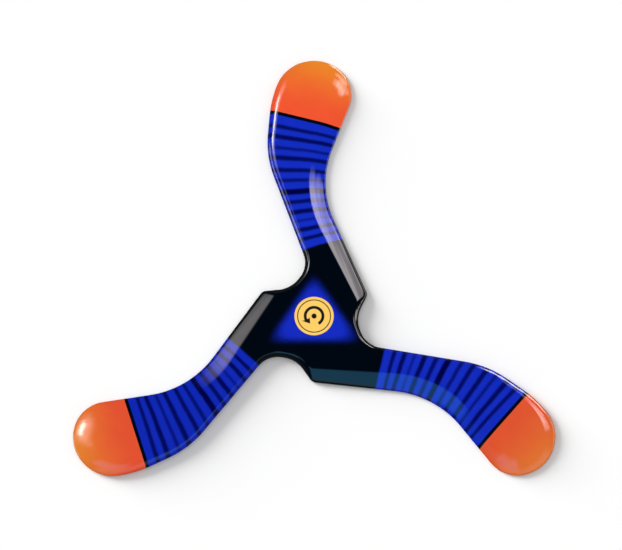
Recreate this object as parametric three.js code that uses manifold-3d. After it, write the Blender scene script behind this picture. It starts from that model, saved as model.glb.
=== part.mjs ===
// A three-wing returning boomerang, built up from the layers that it is made of.
//
// Birch plywood (veneers with a film of glue between them) is cut to the outline and its edges are
// shaped. An orange finish covers each tip, a blue one each wing and a black one the hub, wrapped
// round the edge from the top face to the underside, and a thin round decal lies on the hub.
//
// Units are millimetres. +Z points up out of the decorated face. The origin is on the flat underside,
// at the point that the three wings turn about. Wing 1 points along +Y.

import * as THREE from 'three';
import { mergeVertices } from 'three/addons/utils/BufferGeometryUtils.js';
import Module from 'manifold-3d';

const wasm = await Module();
wasm.setup();

// ---- Driving dimensions ----

const WING_COUNT = 3;
const WING_TURN = (2 * Math.PI) / WING_COUNT;

const VENEER_COUNT = 10;
const VENEER_THICKNESS = 0.45;
const GLUE_THICKNESS = 0.05;

const FINISH_THICKNESS = 0.2;
const FINISH_TO_WOOD_GAP = 0.1;
const FINISH_SEAM_GAP = 0.1;

const DECAL_RADIUS = 11.5;
const DECAL_THICKNESS = 0.1;
const DECAL_CENTRE_Y = 3;
const DECAL_SIDES = 48;

// How far a straight chord of the outline may stand off the round stretch that it follows.
const CONVEX_CHORD_ERROR = 0.45;
const CONCAVE_CHORD_ERROR = 0.2;
// The longest stretch of straight edge between two stations of the cross-section.
const STRAIGHT_STEP = 20;

// Paint lines across wing 1: each passes through x = 0 at height y, and rises by slope along x.
const TIP_LINE = { y: 122, slope: -0.223 };
const HUB_LINE = { y: 44, slope: 0.32 };

// The shape of the edge in cross-section: straight up from the underside to rimHeight, then a bevel up
// to the crest. The other values are how far each of the three corners is rounded off.
const LEADING_EDGE = { rimHeight: 3.2, underRound: 0.9, rimRound: 1.9, crestRound: 1.7 };
const TRAILING_EDGE = { rimHeight: 1.7, underRound: 0.8, rimRound: 2.2, crestRound: 1.5 };
const TIP_EDGE = { rimHeight: 1.8, underRound: 0.9, rimRound: 1.8, crestRound: 6.1 };
const TIP_LEADING_EDGE = { rimHeight: 2.3, underRound: 0.9, rimRound: 2.0, crestRound: 4.5 };
const BAY_EDGE = { rimHeight: 3.1, underRound: 0.9, rimRound: 1.3, crestRound: 1.0 };
const SHOULDER_EDGE = { rimHeight: 2.6, underRound: 0.9, rimRound: 2.0, crestRound: 1.1 };

// Wing 1, counter-clockwise from its trailing shoulder, over the tip, to the bay before wing 2. Each
// corner has its place and rounding radius on the rim, the outer edge, and on the crest, the line
// where the bevel meets the flat top face.
const CORNERS = [
  { rim: [31.4, 16.8, 4.5], crest: [25.2, 11.8, 3.5], edge: SHOULDER_EDGE },
  // The waist.
  { rim: [2.2, 82.9, 56], crest: [-11, 83, 66], edge: TRAILING_EDGE },
  // Round the tip, from its trailing side to its leading side.
  { rim: [26, 144.3, 20], crest: [15.3, 141.5, 11.5], edge: TIP_EDGE },
  { rim: [7, 159.6, 22.5], crest: [4, 149.3, 13], edge: TIP_EDGE },
  { rim: [-17, 157.1, 23.5], crest: [-12, 150.3, 15], edge: TIP_LEADING_EDGE },
  // The belly.
  { rim: [-25.5, 134.2, 70], crest: [-21, 134, 45], edge: LEADING_EDGE },
  { rim: [-28.5, 100.6, 60], crest: [-25.3, 100.6, 56], edge: LEADING_EDGE },
  // The bay, from the wing to the hub.
  { rim: [-3.3, 33.2, 14.5], crest: [-1.1, 32.8, 16], edge: BAY_EDGE },
  { rim: [-14, 20.1, 16.5], crest: [-13, 18.2, 18.5], edge: BAY_EDGE },
];

const COLOURS = {
  birch: { color: 0xd8b98c, roughness: 0.7, metalness: 0 },
  glue: { color: 0x4a2618, roughness: 0.5, metalness: 0 },
  orange: { color: 0xe8591f, roughness: 0.15, metalness: 0 },
  blue: { color: 0x1a22c8, roughness: 0.15, metalness: 0 },
  black: { color: 0x05080d, roughness: 0.12, metalness: 0 },
  decal: { color: 0xf5c65a, roughness: 0.3, metalness: 0 },
};

// ---- Heights that follow from the layers ----

const CORE_BOTTOM = FINISH_THICKNESS + FINISH_TO_WOOD_GAP;
const CORE_THICKNESS = VENEER_COUNT * VENEER_THICKNESS + (VENEER_COUNT - 1) * GLUE_THICKNESS;
const THICKNESS = CORE_BOTTOM + CORE_THICKNESS + FINISH_TO_WOOD_GAP + FINISH_THICKNESS;

// ---- Outline ----

function turned(x, y, wing) {
  return new THREE.Vector2(x, y).rotateAround(new THREE.Vector2(), wing * WING_TURN);
}

// The arc that rounds the corner `at`, from the side of `before` to the side of `after`.
function cornerArc(before, at, after, radius) {
  const back = before.clone().sub(at).normalize();
  const ahead = after.clone().sub(at).normalize();
  const halfAngle = Math.acos(back.dot(ahead)) / 2;
  const middle = back.clone().add(ahead).normalize();
  const centre = at.clone().addScaledVector(middle, radius / Math.sin(halfAngle));
  const start = at.clone().addScaledVector(back, radius / Math.tan(halfAngle)).sub(centre);
  const convex = back.cross(ahead) < 0;
  const sweep = (Math.PI - 2 * halfAngle) * (convex ? 1 : -1);
  const chordError = convex ? CONVEX_CHORD_ERROR : CONCAVE_CHORD_ERROR;
  const longestChord = Math.sqrt(8 * radius * chordError);
  return { centre, start, sweep, longestChord, length: Math.abs(sweep) * radius };
}

function arcPoint(arc, fraction) {
  return arc.start.clone().rotateAround(new THREE.Vector2(), arc.sweep * fraction).add(arc.centre);
}

// Every corner of the whole outline, with its rounding arcs, turned to its own wing.
function roundedCorners() {
  const corners = [];
  for (let wing = 0; wing < WING_COUNT; wing += 1) {
    for (const { rim, crest, edge } of CORNERS) {
      corners.push({
        rim: turned(rim[0], rim[1], wing),
        crest: turned(crest[0], crest[1], wing),
        rimRadius: rim[2],
        crestRadius: crest[2],
        edge,
      });
    }
  }
  return corners.map((corner, index) => {
    const before = corners[(index + corners.length - 1) % corners.length];
    const after = corners[(index + 1) % corners.length];
    return {
      rimArc: cornerArc(before.rim, corner.rim, after.rim, corner.rimRadius),
      crestArc: cornerArc(before.crest, corner.crest, after.crest, corner.crestRadius),
      edge: corner.edge,
    };
  });
}

function blendEdges(from, to, fraction) {
  const blend = (key) => THREE.MathUtils.lerp(from[key], to[key], fraction);
  return Object.fromEntries(Object.keys(from).map((key) => [key, blend(key)]));
}

// The stations of the cross-section from the middle of one corner's arc to the middle of the next's.
function stretchStations(from, to) {
  const fromHalf = from.rimArc.length / 2;
  const toHalf = to.rimArc.length / 2;
  const straight = arcPoint(from.rimArc, 1).distanceTo(arcPoint(to.rimArc, 0));
  const whole = fromHalf + straight + toHalf;
  const stations = [];
  const addStation = (rim, crest, distance) => {
    const inward = crest.clone().sub(rim);
    stations.push({
      rim,
      inward: inward.clone().normalize(),
      width: inward.length(),
      edge: blendEdges(from.edge, to.edge, distance / whole),
    });
  };

  const fromSteps = Math.ceil(fromHalf / from.rimArc.longestChord);
  for (let step = 0; step <= fromSteps; step += 1) {
    const fraction = step / fromSteps;
    const onArc = 0.5 + 0.5 * fraction;
    addStation(arcPoint(from.rimArc, onArc), arcPoint(from.crestArc, onArc), fromHalf * fraction);
  }
  const straightSteps = Math.ceil(straight / STRAIGHT_STEP);
  for (let step = 1; step < straightSteps; step += 1) {
    const fraction = step / straightSteps;
    const rim = arcPoint(from.rimArc, 1).lerp(arcPoint(to.rimArc, 0), fraction);
    const crest = arcPoint(from.crestArc, 1).lerp(arcPoint(to.crestArc, 0), fraction);
    addStation(rim, crest, fromHalf + straight * fraction);
  }
  const toSteps = Math.ceil(toHalf / to.rimArc.longestChord);
  for (let step = 0; step < toSteps; step += 1) {
    const fraction = step / toSteps;
    const onArc = 0.5 * fraction;
    const distance = fromHalf + straight + toHalf * fraction;
    addStation(arcPoint(to.rimArc, onArc), arcPoint(to.crestArc, onArc), distance);
  }
  return stations;
}

function makeStations() {
  const corners = roundedCorners();
  return corners.flatMap((corner, index) => stretchStations(corner, corners[(index + 1) % corners.length]));
}

// ---- Cross-section ----

// Points of the edge's section from the flat underside to the flat top, as [distance in from the
// rim, height]. Each corner is a quadratic curve of three points.
function sectionPoints(station) {
  const { rimHeight, underRound, rimRound, crestRound } = station.edge;
  const rimCorner = new THREE.Vector2(0, rimHeight);
  const crestCorner = new THREE.Vector2(station.width, THICKNESS);
  const climb = crestCorner.clone().sub(rimCorner).normalize();
  const rounded = [
    [new THREE.Vector2(underRound, 0), new THREE.Vector2(0, 0), new THREE.Vector2(0, rimHeight / 2)],
    [
      new THREE.Vector2(0, rimHeight / 2),
      rimCorner,
      rimCorner.clone().addScaledVector(climb, rimRound),
    ],
    [
      crestCorner.clone().addScaledVector(climb, -crestRound),
      crestCorner,
      crestCorner.clone().add(new THREE.Vector2(crestRound, 0)),
    ],
  ];
  const [under, rim, crest] = rounded.map((ends) => new THREE.QuadraticBezierCurve(...ends).getPoints(2));
  return [...under, ...rim.slice(1), ...crest];
}

// The same section moved `depth` into the material, square to its own faces.
function insetSection(points, depth) {
  const last = points.length - 1;
  return points.map((point, index) => {
    const from = index === 0 ? new THREE.Vector2(point.x + 1, 0) : points[index - 1];
    const to = index === last ? new THREE.Vector2(point.x + 1, THICKNESS) : points[index + 1];
    const along = point.clone().sub(from).normalize();
    const onward = to.clone().sub(point).normalize();
    const normalIn = new THREE.Vector2(along.y, -along.x);
    const nextNormalIn = new THREE.Vector2(onward.y, -onward.x);
    const middle = normalIn.clone().add(nextNormalIn).normalize();
    return point.clone().addScaledVector(middle, depth / middle.dot(normalIn));
  });
}

// How far in from the rim a section is at a height.
function sectionInsetAt(points, height) {
  for (let index = 1; index < points.length; index += 1) {
    const lower = points[index - 1];
    const upper = points[index];
    if (height <= upper.y) {
      const fraction = (height - lower.y) / (upper.y - lower.y);
      return lower.x + (upper.x - lower.x) * Math.max(fraction, 0);
    }
  }
  return points.at(-1).x;
}

// ---- Solids ----

function ringPoint(station, inset, height) {
  const place = station.rim.clone().addScaledVector(station.inward, inset);
  return new THREE.Vector3(place.x, place.y, height);
}

// Two triangles over a four-sided panel, folded along the diagonal that makes the panel bulge outwards.
function outwardFold(points, a, b, c, d) {
  const plane = new THREE.Plane().setFromCoplanarPoints(points[a], points[b], points[c]);
  const bulgesOut = plane.distanceToPoint(points[d]) <= 0;
  return bulgesOut ? [a, b, c, a, c, d] : [a, b, d, b, c, d];
}

// A closed solid through rings of equal length, stacked from the lowest to the highest.
function stackedRings(rings) {
  const count = rings[0].length;
  const points = rings.flat();
  const triangles = [];
  for (let level = 0; level < rings.length - 1; level += 1) {
    for (let index = 0; index < count; index += 1) {
      const here = level * count + index;
      const next = level * count + ((index + 1) % count);
      triangles.push(...outwardFold(points, here, next, next + count, here + count));
    }
  }
  const capOf = (ring) => THREE.ShapeUtils.triangulateShape(ring.map((p) => new THREE.Vector2(p.x, p.y)), []);
  const topStart = (rings.length - 1) * count;
  for (const [a, b, c] of capOf(rings[0])) {
    triangles.push(c, b, a);
  }
  for (const [a, b, c] of capOf(rings.at(-1))) {
    triangles.push(topStart + a, topStart + b, topStart + c);
  }
  const geometry = new THREE.BufferGeometry();
  geometry.setFromPoints(points);
  geometry.setIndex(triangles);
  return geometry;
}

// The whole boomerang's shape, moved `depth` into the material all over.
function bodyGeometry(stations, depth) {
  const sections = stations.map((station) => insetSection(sectionPoints(station), depth));
  const levels = sections[0].length;
  const rings = [];
  for (let level = 0; level < levels; level += 1) {
    rings.push(stations.map((station, index) => {
      const { x, y } = sections[index][level];
      return ringPoint(station, x, y);
    }));
  }
  return stackedRings(rings);
}

// One flat layer of the plywood, between two heights.
function layerGeometry(stations, coreSections, bottom, top) {
  const ringAt = (height) => stations.map((station, index) => (
    ringPoint(station, sectionInsetAt(coreSections[index], height), height)
  ));
  return stackedRings([ringAt(bottom), ringAt(top)]);
}

function toSolid(geometry) {
  const bare = geometry.clone();
  bare.deleteAttribute('normal');
  bare.deleteAttribute('uv');
  const merged = mergeVertices(bare, 1e-4);
  return new wasm.Manifold(new wasm.Mesh({
    numProp: 3,
    vertProperties: new Float32Array(merged.attributes.position.array),
    triVerts: new Uint32Array(merged.index.array),
  }));
}

function toGeometry(solid) {
  const mesh = solid.getMesh();
  const geometry = new THREE.BufferGeometry();
  geometry.setAttribute('position', new THREE.BufferAttribute(mesh.vertProperties, 3));
  geometry.setIndex(new THREE.BufferAttribute(mesh.triVerts, 1));
  geometry.computeVertexNormals();
  return geometry;
}

// A tall block over wing 1, between two lines across the wing.
function blockBetween(lower, upper, halfWidth) {
  const shape = new THREE.Shape();
  shape.moveTo(-halfWidth, lower.y - halfWidth * lower.slope);
  shape.lineTo(halfWidth, lower.y + halfWidth * lower.slope);
  shape.lineTo(halfWidth, upper.y + halfWidth * upper.slope);
  shape.lineTo(-halfWidth, upper.y - halfWidth * upper.slope);
  const block = new THREE.ExtrudeGeometry(shape, { depth: THICKNESS + 2, bevelEnabled: false });
  return toSolid(block.translate(0, 0, -1));
}

// ---- The sub-parts ----

const boomerang = new THREE.Group();
const stations = makeStations();

function addMesh(name, geometry, finish) {
  const mesh = new THREE.Mesh(geometry, new THREE.MeshStandardMaterial(finish));
  mesh.name = name;
  boomerang.add(mesh);
  return mesh;
}

function addPlywood() {
  const depth = FINISH_THICKNESS + FINISH_TO_WOOD_GAP;
  const coreSections = stations.map((station) => insetSection(sectionPoints(station), depth));
  let height = CORE_BOTTOM;
  for (let ply = 1; ply <= VENEER_COUNT; ply += 1) {
    const top = height + VENEER_THICKNESS;
    const number = String(ply).padStart(2, '0');
    addMesh(`veneer_${number}`, layerGeometry(stations, coreSections, height, top), COLOURS.birch);
    if (ply < VENEER_COUNT) {
      const glueTop = top + GLUE_THICKNESS;
      addMesh(`glue_film_${number}`, layerGeometry(stations, coreSections, top, glueTop), COLOURS.glue);
      height = glueTop;
    }
  }
}

function addFinish() {
  const reach = 45;
  const pastTip = { y: 175, slope: 0 };
  const shift = (line, by) => ({ y: line.y + by, slope: line.slope });
  const halfSeam = FINISH_SEAM_GAP / 2;

  const outside = toSolid(bodyGeometry(stations, 0));
  const inside = toSolid(bodyGeometry(stations, FINISH_THICKNESS));
  const finish = outside.subtract(inside);

  const tipBlock = blockBetween(shift(TIP_LINE, halfSeam), pastTip, reach);
  const wingBlock = blockBetween(shift(HUB_LINE, halfSeam), shift(TIP_LINE, -halfSeam), reach);
  const tip = toGeometry(finish.intersect(tipBlock));
  const wing = toGeometry(finish.intersect(wingBlock));
  let hub = finish;
  for (let index = 0; index < WING_COUNT; index += 1) {
    addMesh(`tip_paint_${index + 1}`, tip, COLOURS.orange).rotation.z = index * WING_TURN;
    addMesh(`wing_paint_${index + 1}`, wing, COLOURS.blue).rotation.z = index * WING_TURN;
    const beyondHub = blockBetween(shift(HUB_LINE, -halfSeam), pastTip, reach);
    hub = hub.subtract(beyondHub.rotate([0, 0, THREE.MathUtils.radToDeg(index * WING_TURN)]));
  }
  addMesh('hub_paint', toGeometry(hub), COLOURS.black);
}

function addDecal() {
  const disc = new THREE.CylinderGeometry(DECAL_RADIUS, DECAL_RADIUS, DECAL_THICKNESS, DECAL_SIDES);
  const decal = addMesh('hub_decal', disc.rotateX(Math.PI / 2), COLOURS.decal);
  decal.position.set(0, DECAL_CENTRE_Y, THICKNESS + DECAL_THICKNESS / 2);
}

addPlywood();
addFinish();
addDecal();

export default boomerang;
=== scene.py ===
import math

import bmesh
import bpy
from mathutils import Matrix, Vector


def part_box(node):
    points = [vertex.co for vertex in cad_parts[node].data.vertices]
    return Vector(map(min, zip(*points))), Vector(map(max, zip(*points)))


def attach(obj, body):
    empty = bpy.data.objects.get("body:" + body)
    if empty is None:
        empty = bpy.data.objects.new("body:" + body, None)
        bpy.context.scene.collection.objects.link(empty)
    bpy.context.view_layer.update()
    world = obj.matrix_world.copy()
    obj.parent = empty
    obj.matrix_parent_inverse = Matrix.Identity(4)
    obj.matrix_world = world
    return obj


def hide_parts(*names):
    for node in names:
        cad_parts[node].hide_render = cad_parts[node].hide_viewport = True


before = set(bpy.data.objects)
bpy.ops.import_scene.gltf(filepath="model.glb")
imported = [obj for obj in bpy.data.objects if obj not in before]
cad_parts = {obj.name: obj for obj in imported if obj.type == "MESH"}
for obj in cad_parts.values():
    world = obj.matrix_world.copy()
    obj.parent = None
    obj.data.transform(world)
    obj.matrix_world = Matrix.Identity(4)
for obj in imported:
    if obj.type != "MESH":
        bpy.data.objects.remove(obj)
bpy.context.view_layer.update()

# A three-wing boomerang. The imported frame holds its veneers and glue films. This script gives them
# their wood and resin, and builds what shows: the glossy finish over the wings and the hub, cut from
# one smooth body along the paint lines, and the printed badge. The finish is painted by shader nodes
# in each wing's own coordinates. Wing 1 points along +Y, and the others are turned from it
# counter-clockwise, seen from above.

MM = 0.001
WING_COUNT = 3
WING_TURN = math.tau / WING_COUNT

# The badge lies on the top face, so its underside is the finish's top.
BADGE_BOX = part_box("hub_decal")
THICKNESS = BADGE_BOX[0].z / MM
FINISH_THICKNESS = 0.2

# ---- Camera, floor and studio ----

# The camera looks almost straight down, from the side of the two lower wings.
CAMERA_ELEVATION = 77.8
CAMERA_LENS = 250
SENSOR_WIDTH = 36
VIEW_WIDTH = 365 * MM
VIEW_CENTRE = Vector((-1.8, 27.6, THICKNESS)) * MM


def make_camera():
    data = bpy.data.cameras.new("camera")
    data.lens = CAMERA_LENS
    data.sensor_width = SENSOR_WIDTH
    camera = bpy.data.objects.new("camera", data)
    bpy.context.scene.collection.objects.link(camera)
    tilt = math.radians(CAMERA_ELEVATION)
    back = Vector((0, -math.cos(tilt), math.sin(tilt)))
    distance = VIEW_WIDTH * CAMERA_LENS / SENSOR_WIDTH
    camera.location = VIEW_CENTRE + back * distance
    camera.rotation_euler = (-back).to_track_quat("-Z", "Y").to_euler()
    bpy.context.scene.camera = camera


make_camera()

# The softboxes that the gloss mirrors, by direction in degrees: azimuth counter-clockwise from +X,
# elevation, half width, half height and the width of the soft border, then colour and strength.
# Behind them is a dark dome that is grey at its rim.
SOFTBOXES = {
    "key": (152, 44, 6, 2, 9, (1.0, 0.98, 0.96), 18),
    "key_spread": (151, 50, 10, 2, 23, (1.0, 0.95, 0.96), 4.6),
    "left_low": (184, 8, 14, 8, 6, (0.9, 0.97, 1.0), 4),
    "right_strip": (34, 46, 12, 6, 7, (1.0, 0.91, 0.95), 4.1),
    "right_inner": (40, 52, 11, 2, 8, (1.0, 0.95, 0.98), 4.0),
    "right_outer": (48, 35, 9, 1.5, 5, (1.0, 0.97, 1.0), 4.6),
    "right_low": (55, 11, 11, 4.5, 8, (1.0, 0.97, 0.95), 15),
    "right_rim": (12, 4, 22, 3, 6, (1.0, 0.94, 0.85), 5),
    "front_sky": (-117, 63, 25, 4, 16, (0.13, 0.55, 1.0), 1.7),
    "front_low": (-72, 38, 50, 8, 12, (0.4, 0.75, 0.95), 1.0),
}
DOME_TOP = (0.004, 0.02, 0.04)
DOME_RIM = (0.10, 0.10, 0.10)
DOME_RIM_ELEVATION = 0
DOME_TOP_ELEVATION = 30

# The even light that every surface gets from all round. Only glossy rays see the softboxes and the
# dome.
AMBIENT = (0.60, 0.60, 0.60)

# Two lamps: azimuth, elevation and spread in degrees, strength, and whether the lamp lights only the
# floor or everything but the floor. The first throws the soft shadow on the floor.
LAMPS = {
    "shadow_lamp": (148, 16, 30, 5.9, "INCLUDE"),
    "top_lamp": (90, 86, 20, 1.8, "EXCLUDE"),
}

FLOOR_SIZE = 6.0
FLOOR_BELOW_OBJECT = 0.1 * MM
FLOOR_COLOUR = (0.9, 0.9, 0.9)

# The mix node's sockets for numbers and colours share names, so the colours' are taken by position.
MIX_FIRST_COLOUR = 6
MIX_SECOND_COLOUR = 7
MIX_COLOUR_OUT = 2


class Graph:
    """Adds shader nodes to a tree. The calls that work out a value return its socket."""

    def __init__(self, tree):
        self.tree = tree
        tree.nodes.clear()

    def node(self, kind, inputs=None, **settings):
        """The node itself, with its settings made and its inputs joined or filled in."""
        made = self.tree.nodes.new(kind)
        for name, value in settings.items():
            setattr(made, name, value)
        for name, value in (inputs or {}).items():
            self.put(value, made.inputs[name])
        return made

    def put(self, value, socket):
        if isinstance(value, bpy.types.NodeSocket):
            self.tree.links.new(value, socket)
        elif socket.type == "RGBA" and len(value) == 3:
            socket.default_value = (*value, 1)
        else:
            socket.default_value = value

    def operation(self, kind, operation, values):
        made = self.node(kind, operation=operation)
        for value, socket in zip(values, made.inputs):
            self.put(value, socket)
        return made.outputs[0]

    def math(self, operation, *values):
        return self.operation("ShaderNodeMath", operation, values)

    def vector(self, operation, *values):
        return self.operation("ShaderNodeVectorMath", operation, values)

    def turned(self, vector, angle):
        """A vector turned about Z."""
        inputs = {"Vector": vector, "Angle": angle}
        return self.node("ShaderNodeVectorRotate", inputs, rotation_type="Z_AXIS").outputs[0]

    def scaled(self, vector, factor):
        inputs = {"Vector": vector, "Scale": factor}
        return self.node("ShaderNodeVectorMath", inputs, operation="SCALE").outputs[0]

    def step(self, value, low, high):
        """0 below low and 1 above high, with a smooth rise between. It falls if low is above high."""
        ends = {"To Min": 0.0, "To Max": 1.0}
        if low > high:
            low, high = high, low
            ends = {"To Min": 1.0, "To Max": 0.0}
        inputs = {"Value": value, "From Min": low, "From Max": high, **ends}
        return self.node("ShaderNodeMapRange", inputs, interpolation_type="SMOOTHSTEP").outputs[0]

    def mix(self, factor, first, second):
        """A colour between two."""
        made = self.node("ShaderNodeMix", {"Factor": factor}, data_type="RGBA")
        self.put(first, made.inputs[MIX_FIRST_COLOUR])
        self.put(second, made.inputs[MIX_SECOND_COLOUR])
        return made.outputs[MIX_COLOUR_OUT]

    def noise(self, place, scale, detail=2.0, roughness=0.5):
        """Noise about zero, from roughly -0.5 to 0.5."""
        inputs = {"Vector": place, "Scale": scale, "Detail": detail, "Roughness": roughness}
        made = self.node("ShaderNodeTexNoise", inputs)
        return self.math("SUBTRACT", made.outputs["Fac"], 0.5)

    def bump(self, height, strength=1.0):
        """The normal for a height in metres."""
        inputs = {"Height": height, "Strength": strength, "Distance": 1.0}
        return self.node("ShaderNodeBump", inputs).outputs[0]

    def surface(self, kind, inputs):
        """The material's shader, joined to its output."""
        shader = self.node(kind, inputs)
        self.node("ShaderNodeOutputMaterial", {"Surface": shader.outputs[0]})


def make_studio():
    world = bpy.data.worlds.new("studio")
    bpy.context.scene.world = world
    world.use_nodes = True
    graph = Graph(world.node_tree)
    place = graph.node("ShaderNodeTexCoord").outputs["Generated"]
    x, y, z = graph.node("ShaderNodeSeparateXYZ", {"Vector": place}).outputs
    degrees = math.degrees(1)
    azimuth = graph.math("MULTIPLY", graph.math("ARCTAN2", y, x), degrees)
    elevation = graph.math("MULTIPLY", graph.math("ARCSINE", z), degrees)
    light = graph.mix(graph.step(elevation, DOME_TOP_ELEVATION, DOME_RIM_ELEVATION), DOME_TOP, DOME_RIM)
    for centre, height, half_width, half_height, border, colour, strength in SOFTBOXES.values():
        off_side = graph.math("WRAP", graph.math("SUBTRACT", azimuth, centre), 180, -180)
        off_side = graph.math("ABSOLUTE", off_side)
        off_height = graph.math("ABSOLUTE", graph.math("SUBTRACT", elevation, height))
        across = graph.step(off_side, half_width + border, half_width)
        along = graph.step(off_height, half_height + border, half_height)
        amount = graph.math("MULTIPLY", across, along)
        glow = graph.scaled(tuple(strength * part for part in colour), amount)
        light = graph.vector("ADD", light, glow)
    glossy = graph.node("ShaderNodeLightPath").outputs["Is Glossy Ray"]
    background = graph.node("ShaderNodeBackground", {"Color": graph.mix(glossy, AMBIENT, light)})
    graph.node("ShaderNodeOutputWorld", {"Surface": background.outputs[0]})


def make_floor():
    mesh = bpy.data.meshes.new("floor")
    half = FLOOR_SIZE / 2
    corners = [(-half, -half, 0), (half, -half, 0), (half, half, 0), (-half, half, 0)]
    mesh.from_pydata(corners, [], [(0, 1, 2, 3)])
    floor = bpy.data.objects.new("floor", mesh)
    floor.location.z = -FLOOR_BELOW_OBJECT
    bpy.context.scene.collection.objects.link(floor)
    material = bpy.data.materials.new("floor")
    material.use_nodes = True
    graph = Graph(material.node_tree)
    graph.surface("ShaderNodeBsdfDiffuse", {"Color": FLOOR_COLOUR})
    mesh.materials.append(material)
    # The gloss on the edges mirrors the dim studio, as over a sheet of glass, and not the bright floor.
    floor.visible_glossy = False
    return floor


def make_lamps(floor):
    for name, (azimuth, elevation, spread, strength, floor_state) in LAMPS.items():
        data = bpy.data.lights.new(name, "SUN")
        data.energy = strength
        data.angle = math.radians(spread)
        lamp = bpy.data.objects.new(name, data)
        turn = math.radians(azimuth)
        toward = Vector((math.cos(turn), math.sin(turn), math.tan(math.radians(elevation))))
        lamp.rotation_euler = toward.to_track_quat("Z", "Y").to_euler()
        lamp.visible_glossy = False
        lit = bpy.data.collections.new(f"{name}_floor")
        lit.objects.link(floor)
        lit.collection_objects[0].light_linking.link_state = floor_state
        lamp.light_linking.receiver_collection = lit
        bpy.context.scene.collection.objects.link(lamp)


make_studio()
make_lamps(make_floor())
bpy.context.scene.view_settings.view_transform = "Standard"

# ---- The body's shape, in millimetres ----

# How far a straight chord may stand off a round stretch, and the longest straight stretch.
CHORD_ERROR = 0.015
STRAIGHT_STEP = 3.0

# The edge in cross-section: straight up from the underside to rim_height, then a bevel up to the
# crest, each corner rounded off. The bevel swells beyond the frame's straight one: it starts steeper
# by so many degrees at the rim, and ends as much gentler at the crest.
LEADING_EDGE = {
    "rim_height": 3.2, "under_round": 0.9, "rim_round": 1.9, "crest_round": 1.7, "swell": 2.0,
}
TRAILING_EDGE = {
    "rim_height": 1.7, "under_round": 0.8, "rim_round": 2.2, "crest_round": 1.5, "swell": 3.0,
}
TIP_EDGE = {
    "rim_height": 1.8, "under_round": 0.9, "rim_round": 1.8, "crest_round": 6.1, "swell": 1.5,
}
TIP_LEADING_EDGE = {
    "rim_height": 2.3, "under_round": 0.9, "rim_round": 2.0, "crest_round": 4.5, "swell": 1.5,
}
BAY_EDGE = {
    "rim_height": 3.1, "under_round": 0.9, "rim_round": 1.3, "crest_round": 1.0, "swell": 0.0,
}
SHOULDER_EDGE = {
    "rim_height": 2.6, "under_round": 0.9, "rim_round": 2.0, "crest_round": 1.1, "swell": 3.0,
}

# Wing 1, counter-clockwise from its trailing shoulder, over the tip, to the bay before wing 2: the
# rim's and the crest's corner (x, y, rounding radius), and the edge's section there.
CORNERS = [
    ((31.4, 16.8, 4.5), (25.2, 11.8, 3.5), SHOULDER_EDGE),
    ((2.2, 82.9, 56), (-11, 83, 66), TRAILING_EDGE),
    ((26, 144.3, 20), (15.3, 141.5, 11.5), TIP_EDGE),
    ((7, 159.6, 22.5), (4, 149.3, 13), TIP_EDGE),
    ((-17, 157.1, 23.5), (-12, 150.3, 15), TIP_LEADING_EDGE),
    ((-25.5, 134.2, 70), (-21, 134, 45), LEADING_EDGE),
    ((-28.5, 100.6, 60), (-25.3, 100.6, 56), LEADING_EDGE),
    ((-3.3, 33.2, 14.5), (-1.1, 32.8, 16), BAY_EDGE),
    ((-14, 20.1, 16.5), (-13, 18.2, 18.5), BAY_EDGE),
]

# Steps along each rounded corner of the section and up the bevel, and the flat border outside them.
UNDER_STEPS = 6
RIM_STEPS = 8
BEVEL_STEPS = 6
CREST_STEPS = 8
FLAT_BORDER = 0.3

# How near the cutting plane a vertex counts as on it, in metres, and the angle in degrees above which
# an edge of the finish or of the print is shaded sharp.
CUT_TOLERANCE = 1e-8
FINISH_SHARP_ANGLE = 40
PRINT_SHARP_ANGLE = 30


def turned(point, wing):
    return Matrix.Rotation(wing * WING_TURN, 2) @ Vector(point)


class Arc:
    """The arc that rounds one corner of an outline."""

    def __init__(self, before, corner, after, radius):
        back = (before - corner).normalized()
        ahead = (after - corner).normalized()
        half_angle = math.acos(back.dot(ahead)) / 2
        middle = (back + ahead).normalized()
        self.centre = corner + middle * (radius / math.sin(half_angle))
        self.start = corner + back * (radius / math.tan(half_angle)) - self.centre
        convex = back.x * ahead.y - back.y * ahead.x < 0
        self.sweep = (math.pi - 2 * half_angle) * (1 if convex else -1)
        self.length = abs(self.sweep) * radius
        self.longest_chord = math.sqrt(8 * radius * CHORD_ERROR)

    def point(self, fraction):
        return self.centre + Matrix.Rotation(self.sweep * fraction, 2) @ self.start


def rounded_corners():
    """Every corner of the outline: its arc on the rim, its arc on the crest, and its section."""
    places = []
    for wing in range(WING_COUNT):
        for rim, crest, edge in CORNERS:
            places.append((turned(rim[:2], wing), rim[2], turned(crest[:2], wing), crest[2], edge))
    corners = []
    for index, (rim, rim_radius, crest, crest_radius, edge) in enumerate(places):
        before = places[index - 1]
        after = places[(index + 1) % len(places)]
        rim_arc = Arc(before[0], rim, after[0], rim_radius)
        crest_arc = Arc(before[2], crest, after[2], crest_radius)
        corners.append((rim_arc, crest_arc, edge))
    return corners


def smooth(fraction):
    return fraction * fraction * (3 - 2 * fraction)


def blend_edges(first, second, fraction):
    return {key: first[key] + (second[key] - first[key]) * fraction for key in first}


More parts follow.
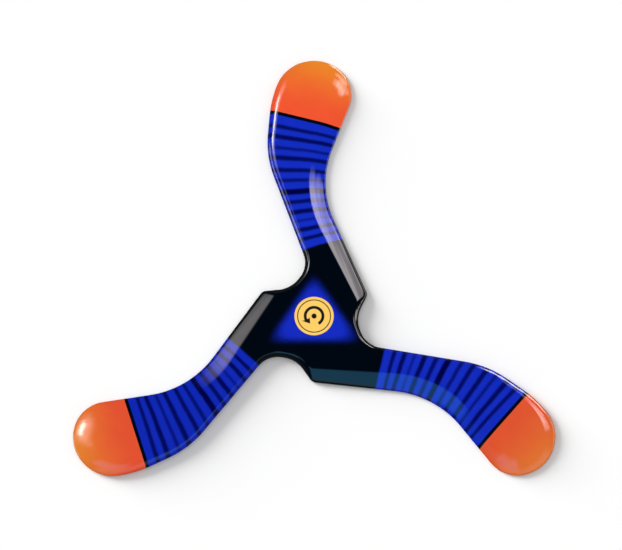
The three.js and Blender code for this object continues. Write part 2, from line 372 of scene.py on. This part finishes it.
def stretch_stations(first, second):
    """The stations of the section from the middle of one corner's arc to the middle of the next's."""
    rim_from, crest_from, edge_from = first
    rim_to, crest_to, edge_to = second
    half_from = rim_from.length / 2
    half_to = rim_to.length / 2
    straight = (rim_from.point(1) - rim_to.point(0)).length
    whole = half_from + straight + half_to
    stations = []

    def add(rim, crest, distance):
        inward = crest - rim
        edge = blend_edges(edge_from, edge_to, smooth(distance / whole))
        stations.append((rim, inward.normalized(), inward.length, edge))

    steps = math.ceil(half_from / rim_from.longest_chord)
    for step in range(steps + 1):
        share = step / steps
        on_arc = 0.5 + 0.5 * share
        add(rim_from.point(on_arc), crest_from.point(on_arc), half_from * share)
    steps = math.ceil(straight / STRAIGHT_STEP)
    for step in range(1, steps):
        share = step / steps
        rim = rim_from.point(1).lerp(rim_to.point(0), share)
        crest = crest_from.point(1).lerp(crest_to.point(0), share)
        add(rim, crest, half_from + straight * share)
    steps = math.ceil(half_to / rim_to.longest_chord)
    for step in range(steps):
        share = step / steps
        distance = half_from + straight + half_to * share
        add(rim_to.point(0.5 * share), crest_to.point(0.5 * share), distance)
    return stations


def curve_points(start, control, end, steps):
    """Points of a quadratic curve, its start left out."""
    points = []
    for step in range(1, steps + 1):
        share = step / steps
        points.append(start.lerp(control, share).lerp(control.lerp(end, share), share))
    return points


def section_points(width, edge):
    """The edge's section from the underside to the top, as (distance in from the rim, height)."""
    rim_corner = Vector((0, edge["rim_height"]))
    crest_corner = Vector((width, THICKNESS))
    climb = (crest_corner - rim_corner).normalized()
    under = Vector((edge["under_round"], 0))
    outermost = rim_corner / 2
    swell = math.radians(edge["swell"])
    bevel_start = rim_corner + Matrix.Rotation(swell, 2) @ climb * edge["rim_round"]
    bevel_end = crest_corner - Matrix.Rotation(-swell, 2) @ climb * edge["crest_round"]
    half_bevel = (bevel_end - bevel_start) / 2
    belly = bevel_start + half_bevel + Vector((-half_bevel.y, half_bevel.x)) * math.tan(swell)
    top = crest_corner + Vector((edge["crest_round"], 0))
    points = [under + Vector((FLAT_BORDER, 0)), under]
    points += curve_points(under, Vector((0, 0)), outermost, UNDER_STEPS)
    points += curve_points(outermost, rim_corner, bevel_start, RIM_STEPS)
    points += curve_points(bevel_start, belly, bevel_end, BEVEL_STEPS)
    points += curve_points(bevel_end, crest_corner, top, CREST_STEPS)
    points.append(top + Vector((FLAT_BORDER, 0)))
    return points


def make_body():
    """The whole outer surface, in metres, as a closed bmesh."""
    corners = rounded_corners()
    stations = []
    for index, corner in enumerate(corners):
        stations += stretch_stations(corner, corners[(index + 1) % len(corners)])
    body = bmesh.new()
    rows = []
    for rim, inward, width, edge in stations:
        row = []
        for inset, height in section_points(width, edge):
            place = rim + inward * inset
            row.append(body.verts.new(Vector((place.x, place.y, height)) * MM))
        rows.append(row)
    for index, row in enumerate(rows):
        following = rows[(index + 1) % len(rows)]
        for level in range(len(row) - 1):
            body.faces.new((row[level], following[level], following[level + 1], row[level + 1]))
    body.faces.new([row[-1] for row in rows])
    body.faces.new([row[0] for row in reversed(rows)])
    return body


def make_object(name, shape):
    """An object with a bmesh's shape. The bmesh is freed."""
    mesh = bpy.data.meshes.new(name)
    shape.to_mesh(mesh)
    shape.free()
    piece = bpy.data.objects.new(name, mesh)
    bpy.context.scene.collection.objects.link(piece)
    return piece


def smooth_shading(mesh, sharp_angle):
    mesh.polygons.foreach_set("use_smooth", [True] * len(mesh.polygons))
    mesh.set_sharp_from_angle(angle=math.radians(sharp_angle))


def finish_piece(name, body, cuts, material, node):
    """The part of the body on the kept side of every cut, as a thin closed skin."""
    shape = body.copy()
    for place, keep in cuts:
        geometry = shape.verts[:] + shape.edges[:] + shape.faces[:]
        bmesh.ops.bisect_plane(
            shape, geom=geometry, dist=CUT_TOLERANCE, plane_co=place, plane_no=keep, clear_inner=True
        )
    bmesh.ops.triangulate(shape, faces=[face for face in shape.faces if len(face.verts) > 4])
    piece = make_object(name, shape)
    skin = piece.modifiers.new("skin", "SOLIDIFY")
    skin.thickness = FINISH_THICKNESS * MM
    skin.offset = -1
    graph = bpy.context.evaluated_depsgraph_get()
    solid = bpy.data.meshes.new_from_object(piece.evaluated_get(graph))
    piece.modifiers.clear()
    piece.data = solid
    solid.name = name
    smooth_shading(solid, FINISH_SHARP_ANGLE)
    solid.materials.clear()
    solid.materials.append(material)
    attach(piece, "root")
    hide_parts(node)


# ---- The paint, in each wing's own millimetres ----

# The cross bands fan out, so they are counted along a coordinate that is straight up the wing at
# FAN_X and leans more the nearer it is to the hub.
FAN_X = -8
FAN_LEAN = 0.60
FAN_CLOSE = 0.0069

# Each dark band, from the hub outwards: how many spacings out it is, its half width and its darkness.
BANDS = [
    (0, 1.2, 0.88), (1, 1.35, 0.9), (1.95, 0.85, 0.55), (2.9, 1.45, 0.92),
    (3.95, 1.25, 0.84), (4.97, 1.7, 1.0), (6.1, 1.1, 0.74), (7.1, 1.25, 0.86),
    (8.25, 1.35, 0.88), (9.2, 1.0, 0.66), (10.25, 1.35, 0.9), (11.2, 1.15, 0.84),
]
BAND_SOFTNESS = 0.85

# The range over which the bands wander and over which their edges are ragged, and the heights above
# the underside between which they fade in.
BAND_WANDER = 0.9
BAND_RAGGEDNESS = 0.35
BAND_FADE_FROM = 0.1
BAND_FADE_TO = 0.9

# For each wing: where the blue starts, the first band, the spacing of the bands, and the orange's
# line across the wing, as its height at x = 0 and its slope. Then the colours: the blue, the orange
# at its line, and the yellower orange that the tip's end fades to.
WING_PAINT = [
    {
        "blue_start": 42.4, "first_band": 48.7, "spacing": 5.92, "line_y": 121.3, "line_slope": -0.25,
        "blue": (0.0055, 0.0225, 0.47),
        "orange": (0.79, 0.084, 0.026), "orange_end": (0.74, 0.235, 0.018),
    },
    {
        "blue_start": 40.6, "first_band": 46.6, "spacing": 6.22, "line_y": 122.4, "line_slope": -0.214,
        "blue": (0.004, 0.0175, 0.40),
        "orange": (0.68, 0.074, 0.026), "orange_end": (0.71, 0.21, 0.026),
    },
    {
        "blue_start": 43.6, "first_band": 49.8, "spacing": 6.11, "line_y": 124.6, "line_slope": -0.202,
        "blue": (0.0055, 0.0205, 0.45),
        "orange": (0.66, 0.078, 0.025), "orange_end": (0.66, 0.17, 0.028),
    },
]

# How far the blue's fade at the hub reaches each way, and the width of the black line below the
# orange and how far its soft edge reaches each way.
BLUE_FADE = 0.8
LINE_WIDTH = 2.0
LINE_SOFTNESS = 0.25

# The hub's piece is cut off this far below the end of the blue's fade.
HUB_CUT_MARGIN = 0.5

# The orange starts to turn yellower at one distance out and is yellowest at the other. The fade leans
# with x, and soft clouds shift it over a range of YELLOW_CLOUD.
YELLOW_FROM = 126
YELLOW_TO = 168
YELLOW_LEAN = 0.3
YELLOW_CLOUD = 10.0

BAND_BLUE = (0.0, 0.0, 0.05)
BLACK = (0.0003, 0.0014, 0.0035)
GLOW_BLUE = (0.0065, 0.0215, 0.47)

# The airbrushed triangle on the hub: how far its slanting sides and its base lie from the origin, the
# direction the sides face, the rounding of its top and of its lower corners, and how far outside and
# inside its edge the fade ends. It also fades out below the top face.
GLOW_SIDE = 15.4
GLOW_BASE = 11.4
GLOW_SIDE_ANGLE = 33
GLOW_TOP_ROUNDING = 3.6
GLOW_CORNER_ROUNDING = 14
GLOW_FADE_OUT = 4.5
GLOW_FADE_IN = 3.0
GLOW_FADE_POWER = 2.0
GLOW_FADE_BELOW_TOP = 0.1
GLOW_END_BELOW_TOP = 0.5

# The streaks left by sanding the long trailing bevel. They lean from the shoulder in to the waist and
# out again to the tip. They start a little below the top face, and fade out before the tip's end
# between two distances out, which lean with x.
WAIST_Y = 82
WAIST_ROUNDING = 24
BEVEL_LEAN = 0.44
STREAK_WIDTH = 2.2
STREAK_LENGTH = 60
STREAK_HEIGHT = 0.08
STREAKS_START_BELOW_TOP = 0.1
STREAKS_FULL_BELOW_TOP = 0.7
TIP_LEAN = 0.5
STREAKS_FADE_FROM = 140
STREAKS_END = 150

# On the hub each wing's streaks fill a third, whose middle is turned so many degrees from the wing
# towards its shoulder. The thirds blend over twice the softness.
BEVEL_SECTOR_MIDDLE = 15
SECTOR_SOFTNESS = 1

# The lacquer's orange peel and long soft waves: their scale per millimetre and their height.
PEEL_SCALE = 0.9
PEEL_HEIGHT = 0.001
WAVE_SCALE = 0.085
WAVE_HEIGHT = 0.03


def wing_coordinates(graph, wing):
    """The place in millimetres, turned so that the wing points along y, and its x, y and z."""
    place = graph.node("ShaderNodeTexCoord").outputs["Object"]
    scaled = graph.scaled(graph.turned(place, -wing * WING_TURN), 1 / MM)
    return (scaled, *graph.node("ShaderNodeSeparateXYZ", {"Vector": scaled}).outputs)


def sanding_streaks(graph, x, y, z):
    """The height of the long faint streaks that follow the wing's trailing bevel round its waist."""
    past_waist = graph.math("SUBTRACT", y, WAIST_Y)
    bend = graph.math("SQRT", graph.math("MULTIPLY_ADD", past_waist, past_waist, WAIST_ROUNDING**2))
    across = graph.math("MULTIPLY_ADD", bend, -BEVEL_LEAN, x)
    lines = graph.node("ShaderNodeCombineXYZ", {
        "X": graph.math("MULTIPLY", across, 1 / STREAK_WIDTH),
        "Y": graph.math("MULTIPLY", y, 1 / STREAK_LENGTH),
    })
    on_bevel = graph.step(z, THICKNESS - STREAKS_START_BELOW_TOP, THICKNESS - STREAKS_FULL_BELOW_TOP)
    outward = graph.math("MULTIPLY_ADD", x, -TIP_LEAN, y)
    short_of_end = graph.step(outward, STREAKS_END, STREAKS_FADE_FROM)
    height = graph.math("MULTIPLY", graph.noise(lines.outputs[0], 1.0, 1.5), STREAK_HEIGHT * MM)
    return graph.math("MULTIPLY", graph.math("MULTIPLY", height, on_bevel), short_of_end)


def lacquer(graph, place, colour, streaks):
    """Clear gloss lacquer over paint, with a faint orange peel, long soft waves and the streaks."""
    peel = graph.math("MULTIPLY", graph.noise(place, PEEL_SCALE), PEEL_HEIGHT * MM)
    waves = graph.math("MULTIPLY", graph.noise(place, WAVE_SCALE), WAVE_HEIGHT * MM)
    bump = graph.bump(graph.math("ADD", graph.math("ADD", peel, waves), streaks))
    smudge = graph.math("MULTIPLY_ADD", graph.noise(place, 0.05, 3.0), 0.10, 0.42)
    graph.surface("ShaderNodeBsdfPrincipled", {
        "Base Color": colour,
        "Roughness": smudge,
        "IOR": 1.45,
        "Specular IOR Level": 0.0,
        "Coat Weight": 1.0,
        "Coat Roughness": 0.035,
        "Coat IOR": 1.5,
        "Normal": bump,
        "Coat Normal": bump,
    })


def new_material(name, viewport_colour):
    material = bpy.data.materials.new(name)
    material.use_nodes = True
    material.diffuse_color = (*viewport_colour, 1)
    return material, Graph(material.node_tree)


def airbrushed(graph, place, colour, depth):
    """A colour that varies a little from place to place, as sprayed paint does."""
    cloud = graph.math("MULTIPLY", graph.noise(place, 0.11, 3.0), 0.8)
    grain = graph.math("MULTIPLY", graph.noise(place, 2.2), 0.2)
    shade = graph.math("MULTIPLY_ADD", graph.math("ADD", cloud, grain), depth, 1.0)
    return graph.scaled(colour, shade)


def band_coordinate(graph, x, y):
    """How far out along the wing a point is, counted along the fan of the cross bands."""
    aside = graph.math("SUBTRACT", x, FAN_X)
    lifted = graph.math("MULTIPLY_ADD", aside, -FAN_LEAN, y)
    return graph.math("DIVIDE", lifted, graph.math("MULTIPLY_ADD", aside, -FAN_CLOSE, 1.0))


def wing_blue(graph, place, x, y, z, paint):
    """Blue with the dark cross bands, fading to black at the hub's end."""
    wander = graph.math("MULTIPLY", graph.noise(place, 0.09), BAND_WANDER)
    band_at = graph.math("ADD", band_coordinate(graph, x, y), wander)
    ragged = graph.math("MULTIPLY", graph.noise(place, 0.7, 3.0), BAND_RAGGEDNESS)
    darkest = 0.0
    for position, half_width, darkness in BANDS:
        centre = paint["first_band"] + position * paint["spacing"]
        off = graph.math("ABSOLUTE", graph.math("SUBTRACT", band_at, centre))
        off = graph.math("ADD", off, ragged)
        near = graph.step(off, half_width + BAND_SOFTNESS, half_width - BAND_SOFTNESS)
        darkest = graph.math("MAXIMUM", darkest, graph.math("MULTIPLY", near, darkness))
    on_top = graph.step(z, BAND_FADE_FROM, BAND_FADE_TO)
    banded = graph.math("MULTIPLY", darkest, on_top)
    blue = graph.mix(banded, airbrushed(graph, place, paint["blue"], 0.2), BAND_BLUE)
    start = paint["blue_start"]
    return graph.mix(graph.step(band_at, start - BLUE_FADE, start + BLUE_FADE), BLACK, blue)


def tip_material(wing):
    paint = WING_PAINT[wing]
    material, graph = new_material(f"orange_lacquer_{wing + 1}", paint["orange"])
    place, x, y, z = wing_coordinates(graph, wing)
    outward = graph.math("MULTIPLY_ADD", x, YELLOW_LEAN, y)
    cloud = graph.math("MULTIPLY", graph.noise(place, 0.05), YELLOW_CLOUD)
    toward_end = graph.step(graph.math("ADD", outward, cloud), YELLOW_FROM, YELLOW_TO)
    warm = graph.mix(toward_end, paint["orange"], paint["orange_end"])
    lacquer(graph, place, airbrushed(graph, place, warm, 0.12), sanding_streaks(graph, x, y, z))
    return material


def wing_material(wing):
    paint = WING_PAINT[wing]
    material, graph = new_material(f"blue_lacquer_{wing + 1}", paint["blue"])
    place, x, y, z = wing_coordinates(graph, wing)
    blue = wing_blue(graph, place, x, y, z, paint)
    steepness = math.hypot(1, paint["line_slope"])
    above = graph.math("MULTIPLY_ADD", x, -paint["line_slope"], y)
    below_line = graph.math("DIVIDE", graph.math("SUBTRACT", paint["line_y"], above), steepness)
    on_line = graph.step(below_line, LINE_WIDTH + LINE_SOFTNESS, LINE_WIDTH - LINE_SOFTNESS)
    lacquer(graph, place, graph.mix(on_line, blue, BLACK), sanding_streaks(graph, x, y, z))
    return material


def hub_streaks(graph):
    """Each wing's streaks, in the third of the hub that its trailing bevel runs into."""
    total = 0.0
    middle = math.radians(BEVEL_SECTOR_MIDDLE)
    for wing in range(WING_COUNT):
        x, y, z = wing_coordinates(graph, wing)[1:]
        ahead = graph.math("MULTIPLY", y, math.cos(middle))
        ahead = graph.math("MULTIPLY_ADD", x, math.sin(middle), ahead)
        reach = graph.math("SQRT", graph.math("MULTIPLY_ADD", x, x, graph.math("MULTIPLY", y, y)))
        inside = graph.math("MULTIPLY_ADD", reach, -math.cos(WING_TURN / 2), ahead)
        share = graph.step(inside, -SECTOR_SOFTNESS, SECTOR_SOFTNESS)
        streaks = graph.math("MULTIPLY", sanding_streaks(graph, x, y, z), share)
        total = graph.math("ADD", total, streaks)
    return total


def hub_material():
    material, graph = new_material("black_lacquer", BLACK)
    place, x, y, z = wing_coordinates(graph, 0)
    side_angle = math.radians(GLOW_SIDE_ANGLE)
    aside = graph.math("SQRT", graph.math("MULTIPLY_ADD", x, x, GLOW_TOP_ROUNDING**2))
    across = graph.math("MULTIPLY_ADD", aside, math.cos(side_angle), -GLOW_SIDE)
    outside_side = graph.math("MULTIPLY_ADD", y, math.sin(side_angle), across)
    outside_base = graph.math("SUBTRACT", -GLOW_BASE, y)
    outside = graph.math("SMOOTH_MAX", outside_side, outside_base, GLOW_CORNER_ROUNDING)
    spray = graph.noise(place, 0.35, 3.0)
    inside = graph.step(graph.math("ADD", outside, spray), GLOW_FADE_OUT, -GLOW_FADE_IN)
    inside = graph.math("POWER", inside, GLOW_FADE_POWER)
    on_top = graph.step(z, THICKNESS - GLOW_END_BELOW_TOP, THICKNESS - GLOW_FADE_BELOW_TOP)
    glow = graph.math("MULTIPLY", inside, on_top)
    blue = airbrushed(graph, place, GLOW_BLUE, 0.3)
    colour = graph.mix(glow, airbrushed(graph, place, BLACK, 0.3), blue)
    lacquer(graph, place, colour, hub_streaks(graph))
    return material


def line_cut(wing, height, slope, keep_outer):
    """A cutting plane through a line across a wing, and the side to keep."""
    place = turned((0, height), wing) * MM
    outward = turned((-slope, 1), wing).normalized()
    keep = outward if keep_outer else -outward
    return Vector((place.x, place.y, 0)), Vector((keep.x, keep.y, 0))


def hub_line(paint):
    """The line where a wing's blue has faded out: its height at x = 0 and its slope."""
    start = paint["blue_start"] - BLUE_FADE - HUB_CUT_MARGIN
    height = start * (1 + FAN_CLOSE * FAN_X) - FAN_LEAN * FAN_X
    slope = FAN_LEAN - FAN_CLOSE * start
    return height, slope


def make_finish():
    body = make_body()
    hub_cuts = []
    for wing, paint in enumerate(WING_PAINT):
        number = wing + 1
        orange_line = (paint["line_y"], paint["line_slope"])
        outer = line_cut(wing, *orange_line, keep_outer=True)
        inner = line_cut(wing, *orange_line, keep_outer=False)
        off_hub = line_cut(wing, *hub_line(paint), keep_outer=True)
        hub_cuts.append(line_cut(wing, *hub_line(paint), keep_outer=False))
        finish_piece(
            f"tip_finish_{number}", body, [outer], tip_material(wing),
            f"tip_paint_{number}",
        )
        finish_piece(
            f"wing_finish_{number}", body, [off_hub, inner], wing_material(wing),
            f"wing_paint_{number}",
        )
    finish_piece("hub_finish", body, hub_cuts, hub_material(), "hub_paint")
    body.free()


make_finish()

# ---- The badge: a round print with a turning arrow ----

BADGE_CENTRE = (BADGE_BOX[0] + BADGE_BOX[1]) / 2
BADGE_RADIUS = (BADGE_BOX[1].x - BADGE_BOX[0].x) / 2 / MM
BADGE_FILM = 0.08
INK = 0.02
BADGE_SIDES = 128

# Corners that agree to so many decimals of a millimetre are one corner.
CORNER_DECIMALS = 5

# The arrow's start, sweep, head length and barbs are in degrees. The head's point turns in a little
# from the shaft's radius, and its barbs reach back past the shaft's end.
RING_RADIUS = 9.9
RING_WIDTH = 0.55
ARROW_RADIUS = 5.2
ARROW_WIDTH = 1.7
ARROW_START = -60
ARROW_SWEEP = 265
ARROW_HEAD_LENGTH = 38
ARROW_HEAD_WIDTH = 5.0
ARROW_POINT_RADIUS = 5.044
ARROW_BARB_SWEEP = 3
DOT_RADIUS = 1.5


def polar(radius, degrees):
    angle = math.radians(degrees)
    return Vector((radius * math.cos(angle), radius * math.sin(angle)))


def flat_solid(faces, low, high):
    """A closed bmesh between two heights in metres, over faces that run counter-clockwise."""
    shape = bmesh.new()
    corners = {}
    outlines = []
    for points in faces:
        outline = []
        for point in points:
            corner = (round(point.x, CORNER_DECIMALS), round(point.y, CORNER_DECIMALS))
            if corner not in corners:
                x = BADGE_CENTRE.x + point.x * MM
                y = BADGE_CENTRE.y + point.y * MM
                corners[corner] = (shape.verts.new((x, y, low)), shape.verts.new((x, y, high)))
            outline.append(corners[corner])
        outlines.append(outline)
    sides = [list(zip(outline, outline[1:] + outline[:1])) for outline in outlines]
    all_sides = {side for outline_sides in sides for side in outline_sides}
    for outline, outline_sides in zip(outlines, sides):
        shape.faces.new([below for below, above in reversed(outline)])
        shape.faces.new([above for below, above in outline])
        for start, end in outline_sides:
            if (end, start) not in all_sides:
                shape.faces.new((start[0], end[0], end[1], start[1]))
    return shape


def flat_print(name, faces, bottom, thickness, material):
    """A thin solid over flat faces about the badge's centre, with sizes in millimetres."""
    base = BADGE_BOX[0].z + bottom * MM
    piece = make_object(name, flat_solid(faces, base, base + thickness * MM))
    smooth_shading(piece.data, PRINT_SHARP_ANGLE)
    piece.data.materials.append(material)
    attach(piece, "root")
    return piece


def ring_faces(inner, outer, start=0.0, sweep=360.0):
    steps = round(BADGE_SIDES * sweep / 360)
    angles = [start + sweep * step / steps for step in range(steps + 1)]
    quads = []
    for first, second in zip(angles, angles[1:]):
        start_side = [polar(inner, first), polar(outer, first)]
        end_side = [polar(outer, second), polar(inner, second)]
        quads.append(start_side + end_side)
    return quads


def disc_faces(radius):
    """A disc as a small fan inside a ring, so that no triangle is a long sliver."""
    middle = radius / 3
    turns = [360 * step / BADGE_SIDES for step in range(BADGE_SIDES + 1)]
    fan = []
    for first, second in zip(turns, turns[1:]):
        fan.append([Vector((0, 0)), polar(middle, first), polar(middle, second)])
    return fan + ring_faces(middle, radius)


def arrow_faces():
    """A round arrow that turns the way the boomerang spins, counter-clockwise."""
    inner = ARROW_RADIUS - ARROW_WIDTH / 2
    outer = ARROW_RADIUS + ARROW_WIDTH / 2
    end = ARROW_START + ARROW_SWEEP
    quads = ring_faces(inner, outer, ARROW_START, ARROW_SWEEP)
    point = polar(ARROW_POINT_RADIUS, end + ARROW_HEAD_LENGTH)
    wide_in = polar(ARROW_RADIUS - ARROW_HEAD_WIDTH / 2, end - ARROW_BARB_SWEEP)
    wide_out = polar(ARROW_RADIUS + ARROW_HEAD_WIDTH / 2, end - ARROW_BARB_SWEEP)
    shaft_in = polar(inner, end)
    shaft_out = polar(outer, end)
    quads.append([wide_in, shaft_in, point])
    quads.append([shaft_in, shaft_out, point])
    quads.append([shaft_out, wide_out, point])
    return quads


AMBER = (0.90, 0.56, 0.115)
INK_BLACK = (0.006, 0.005, 0.004)
PRINT_BUMP_HEIGHT = 0.001


def print_material(name, colour, depth):
    """Printed film: a flat colour with fine print grain, under a satin gloss."""
    material, graph = new_material(name, colour)
    place = wing_coordinates(graph, 0)[0]
    dots = graph.noise(place, 6.0, 1.0)
    cloud = graph.noise(place, 0.25)
    shade = graph.math("MULTIPLY_ADD", graph.math("ADD", dots, cloud), depth, 1.0)
    height = graph.math("MULTIPLY", graph.noise(place, 1.6), PRINT_BUMP_HEIGHT * MM)
    graph.surface("ShaderNodeBsdfPrincipled", {
        "Base Color": graph.scaled(colour, shade),
        "Roughness": graph.math("MULTIPLY_ADD", cloud, 0.1, 0.3),
        "Specular IOR Level": 0.3,
        "Coat Weight": 0.6,
        "Coat Roughness": 0.08,
        "Normal": graph.bump(height),
    })
    return material


def make_badge():
    amber = print_material("badge_amber", AMBER, 0.10)
    black = print_material("badge_ink", INK_BLACK, 0.3)
    disc = flat_print("badge_film", disc_faces(BADGE_RADIUS), 0, BADGE_FILM, amber)
    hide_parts("hub_decal")
    flat_print("badge_ring", ring_faces(RING_RADIUS - RING_WIDTH, RING_RADIUS), BADGE_FILM, INK, black)
    flat_print("badge_arrow", arrow_faces(), BADGE_FILM, INK, black)
    flat_print("badge_dot", disc_faces(DOT_RADIUS), BADGE_FILM, INK, black)


make_badge()

# ---- The wood and the glue, on the frame's own nodes ----

VENEER_COLOUR = (0.60, 0.40, 0.20)
VENEER_DARK = (0.40, 0.22, 0.09)
GRAIN_BUMP_HEIGHT = 0.02
GLUE_COLOUR = (0.055, 0.016, 0.007)
GLUE_SOAKED = (0.14, 0.05, 0.02)
GLUE_BUMP_HEIGHT = 0.01
CORE_BUMP_STRENGTH = 0.8
DEGREES_BETWEEN_PLIES = 90


def veneer_material(ply):
    """Rotary-cut birch: long soft figure and fine pores along the grain, turned a quarter each ply."""
    material, graph = new_material(f"birch_{ply:02d}", VENEER_COLOUR)
    place = graph.node("ShaderNodeTexCoord").outputs["Object"]
    angle = math.radians(ply * DEGREES_BETWEEN_PLIES)
    moved = graph.vector("ADD", graph.turned(place, angle), (0.31 * ply, 0.17 * ply, 0.0))
    long_grain = graph.vector("MULTIPLY", moved, (18.0, 260.0, 260.0))
    pores = graph.vector("MULTIPLY", moved, (120.0, 2600.0, 2600.0))
    figure = graph.noise(long_grain, 1.0, 4.0, 0.6)
    fine = graph.noise(pores, 1.0)
    amount = graph.math("ADD", graph.math("MULTIPLY", figure, 1.6), graph.math("MULTIPLY", fine, 0.5))
    colour = graph.mix(graph.step(amount, -0.55, 0.75), VENEER_COLOUR, VENEER_DARK)
    height = graph.math("MULTIPLY", fine, GRAIN_BUMP_HEIGHT * MM)
    graph.surface("ShaderNodeBsdfPrincipled", {
        "Base Color": colour,
        "Roughness": graph.math("MULTIPLY_ADD", fine, 0.2, 0.62),
        "Normal": graph.bump(height, CORE_BUMP_STRENGTH),
    })
    return material


def glue_material():
    """Cured phenolic film: dark red-brown, glossy where it is thick and dull where it soaked in."""
    material, graph = new_material("phenolic_film", GLUE_COLOUR)
    place = graph.node("ShaderNodeTexCoord").outputs["Object"]
    soaked = graph.noise(place, 240.0, 4.0, 0.6)
    colour = graph.mix(graph.step(soaked, -0.2, 0.25), GLUE_COLOUR, GLUE_SOAKED)
    height = graph.math("MULTIPLY", soaked, GLUE_BUMP_HEIGHT * MM)
    graph.surface("ShaderNodeBsdfPrincipled", {
        "Base Color": colour,
        "Roughness": graph.math("MULTIPLY_ADD", soaked, 0.4, 0.45),
        "Normal": graph.bump(height, CORE_BUMP_STRENGTH),
    })
    return material


def dress_core():
    glue = glue_material()
    for name, node in sorted(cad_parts.items()):
        if name.startswith("veneer_"):
            material = veneer_material(int(name[-2:]))
        elif name.startswith("glue_film_"):
            material = glue
        else:
            continue
        node.data.materials.clear()
        node.data.materials.append(material)


dress_core()
